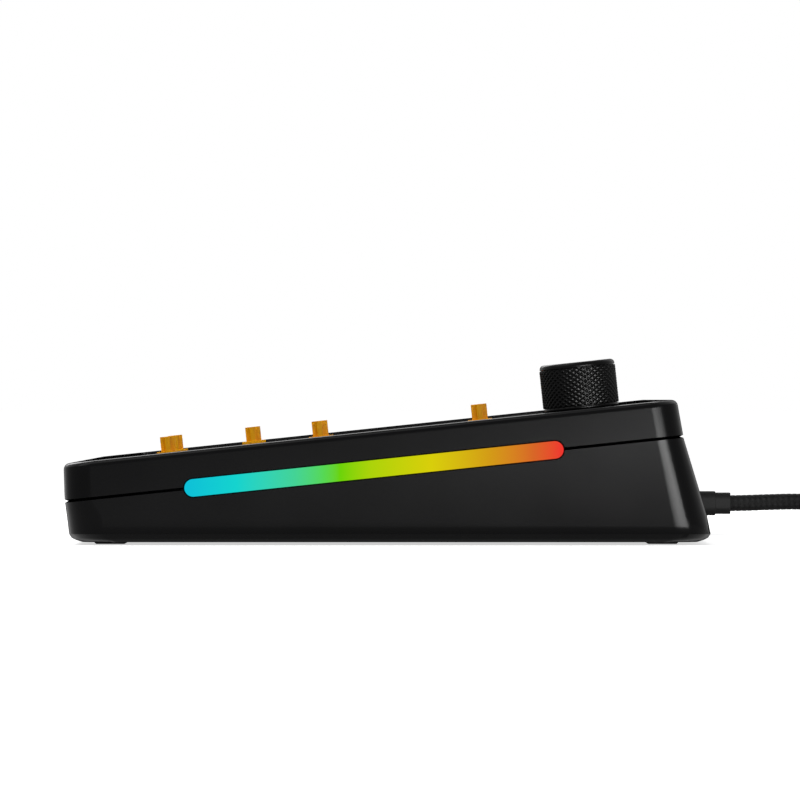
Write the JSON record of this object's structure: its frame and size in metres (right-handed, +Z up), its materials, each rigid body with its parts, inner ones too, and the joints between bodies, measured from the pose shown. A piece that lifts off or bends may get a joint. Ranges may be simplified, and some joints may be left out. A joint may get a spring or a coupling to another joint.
{
  "type": "barebone keyboard kit",
  "caption": "Sloped compact keyboard kit without switches or keycaps, with light bars, stabilisers, a knurled knob and a braided cable.",
  "frame": {"origin": "on the table, under the middle of the case", "axes": "+X to the user's right, +Y to the rear, +Z up"},
  "size_m": [0.3314, 0.2648, 0.0437],
  "materials": {
    "case_black": "satin black, fine texture",
    "foot_rubber": "matt",
    "light_guide": "frosted, lit from behind",
    "light_board": "white solder mask",
    "plate_metal": "black powder coat",
    "foam": "closed-cell foam",
    "board": "black solder mask",
    "black_plastic": "moulded",
    "led_white": "small lens",
    "steel": "bright",
    "black_steel": "blackened",
    "brass": "turned",
    "knob_black": "black anodised, knurled",
    "stem_amber": "translucent amber",
    "braid": "woven sleeve",
    "boot_grey": "moulded",
    "strap": "woven strap"
  },
  "bodies": {
    "case": {"bottom_case": "case_black", "top_case": "case_black", "case_screws": "black_steel", "front_feet": "foot_rubber", "rear_feet": "foot_rubber", "light_bar_right": "light_guide", "light_bar_left": "light_guide", "light_strip_right": "light_board", "light_strip_left": "light_board", "switch_plate": "plate_metal", "gasket_pads": "foam", "plate_foam": "foam", "circuit_board": "board", "board_spacers": "brass", "plate_screws": "black_steel", "switch_sockets": "black_plastic", "key_leds": "led_white", "board_parts": "black_plastic", "case_foam": "foam", "usb_board": "board", "usb_board_screws": "black_steel", "usb_socket": "steel", "board_link_cable": "light_board", "encoder_body": "steel", "space_housings": "black_plastic", "left_shift_housings": "black_plastic", "enter_housings": "black_plastic", "backspace_housings": "black_plastic", "stabiliser_screws": "steel", "usb_c_plug": "steel", "usb_c_boot": "boot_grey", "cable_lead": "braid", "cable_coil": "braid", "cable_tail": "braid", "cable_tie": "strap", "usb_a_plug": "steel", "usb_a_boot": "boot_grey"},
    "rotor": {"encoder_rotor": "light_board"},
    "knob": {"encoder_shaft": "steel", "knob": "knob_black", "knob_set_screw": "black_steel"},
    "space_stem_left": {"space_stem_left": "stem_amber"},
    "space_stem_right": {"space_stem_right": "stem_amber"},
    "space_wire": {"space_wire": "steel"},
    "left_shift_stem_left": {"left_shift_stem_left": "stem_amber"},
    "left_shift_stem_right": {"left_shift_stem_right": "stem_amber"},
    "left_shift_wire": {"left_shift_wire": "steel"},
    "enter_stem_left": {"enter_stem_left": "stem_amber"},
    "enter_stem_right": {"enter_stem_right": "stem_amber"},
    "enter_wire": {"enter_wire": "steel"},
    "backspace_stem_left": {"backspace_stem_left": "stem_amber"},
    "backspace_stem_right": {"backspace_stem_right": "stem_amber"},
    "backspace_wire": {"backspace_wire": "steel"}
  },
  "joints": [
    {"name": "knob_turn", "type": "hinge", "parent": "case", "child": "rotor", "pos_m": [0.14388, 0.04664, 0.02313], "axis": [0, -0.1045, 0.9945], "continuous": true},
    {"name": "knob_press", "type": "slide", "parent": "rotor", "child": "knob", "axis": [0, 0.1045, -0.9945], "range_m": [0, 0.0005], "stiffness_N_per_m": 3000, "springref_m": -0.0005},
    {"name": "space_left_press", "type": "slide", "parent": "case", "child": "space_stem_left", "axis": [0, 0.1045, -0.9945], "range_m": [0, 0.004]},
    {"name": "space_right_press", "type": "slide", "parent": "case", "child": "space_stem_right", "axis": [0, 0.1045, -0.9945], "range_m": [0, 0.004]},
    {"name": "space_wire_turn", "type": "hinge", "parent": "case", "child": "space_wire", "pos_m": [-0.02143, -0.06105, 0.01146], "axis": [-1, 0, 0], "range_deg": [0, 26.2]},
    {"name": "left_shift_left_press", "type": "slide", "parent": "case", "child": "left_shift_stem_left", "axis": [0, 0.1045, -0.9945], "range_m": [0, 0.004]},
    {"name": "left_shift_right_press", "type": "slide", "parent": "case", "child": "left_shift_stem_right", "axis": [0, 0.1045, -0.9945], "range_m": [0, 0.004]},
    {"name": "left_shift_wire_turn", "type": "hinge", "parent": "case", "child": "left_shift_wire", "pos_m": [-0.13097, -0.0421, 0.01345], "axis": [-1, 0, 0], "range_deg": [0, 26.2]},
    {"name": "enter_left_press", "type": "slide", "parent": "case", "child": "enter_stem_left", "axis": [0, 0.1045, -0.9945], "range_m": [0, 0.004]},
    {"name": "enter_right_press", "type": "slide", "parent": "case", "child": "enter_stem_right", "axis": [0, 0.1045, -0.9945], "range_m": [0, 0.004]},
    {"name": "enter_wire_turn", "type": "hinge", "parent": "case", "child": "enter_wire", "pos_m": [0.11192, -0.02315, 0.01544], "axis": [-1, 0, 0], "range_deg": [0, 26.2]},
    {"name": "backspace_left_press", "type": "slide", "parent": "case", "child": "backspace_stem_left", "axis": [0, 0.1045, -0.9945], "range_m": [0, 0.004]},
    {"name": "backspace_right_press", "type": "slide", "parent": "case", "child": "backspace_stem_right", "axis": [0, 0.1045, -0.9945], "range_m": [0, 0.004]},
    {"name": "backspace_wire_turn", "type": "hinge", "parent": "case", "child": "backspace_wire", "pos_m": [0.1143, 0.01474, 0.01942], "axis": [-1, 0, 0], "range_deg": [0, 26.2]}
  ],
  "couplings": [
    {"joint": "space_right_press", "follows": "space_left_press", "ratio": 1},
    {"joint": "space_wire_turn", "follows": "space_left_press", "rad_per_m": 114.25},
    {"joint": "left_shift_right_press", "follows": "left_shift_left_press", "ratio": 1},
    {"joint": "left_shift_wire_turn", "follows": "left_shift_left_press", "rad_per_m": 114.25},
    {"joint": "enter_right_press", "follows": "enter_left_press", "ratio": 1},
    {"joint": "enter_wire_turn", "follows": "enter_left_press", "rad_per_m": 114.25},
    {"joint": "backspace_right_press", "follows": "backspace_left_press", "ratio": 1},
    {"joint": "backspace_wire_turn", "follows": "backspace_left_press", "rad_per_m": 114.25}
  ]
}
